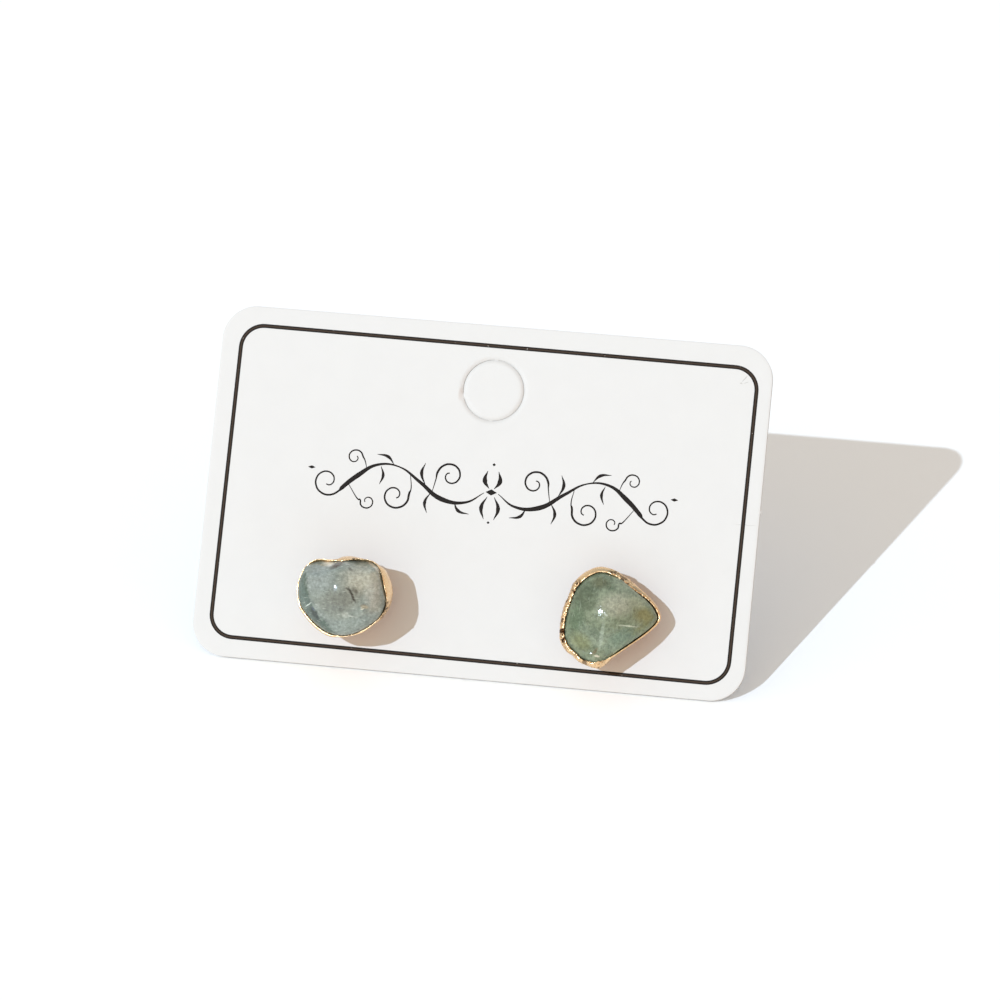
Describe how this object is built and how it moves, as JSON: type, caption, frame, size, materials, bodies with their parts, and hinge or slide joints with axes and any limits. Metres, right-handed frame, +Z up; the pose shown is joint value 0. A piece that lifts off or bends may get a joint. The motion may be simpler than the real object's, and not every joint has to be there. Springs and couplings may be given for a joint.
{
  "type": "pair of stud earrings on display card",
  "caption": "Pair of raw-stone stud earrings with gold rims, pushed through a small white display card that leans back on the ear posts.",
  "frame": {"origin": "under the middle of the whole thing, on the surface that the card's lower edge and the post ends stand on", "axes": "+Z up, +X along the card's long edge to the viewer's right, -Y towards the viewer; the card leans back towards +Y"},
  "size_m": [0.055, 0.0238, 0.0286],
  "materials": {
    "card_board": "satin",
    "stone_left": "gloss",
    "stone_right": "gloss",
    "gold_plate": "polished"
  },
  "bodies": {
    "root": {"display_card": "card_board", "stone_left": "stone_left", "stone_right": "stone_right", "setting_left": "gold_plate", "setting_right": "gold_plate", "ear_back_left": "gold_plate", "ear_back_right": "gold_plate"}
  },
  "joints": []
}
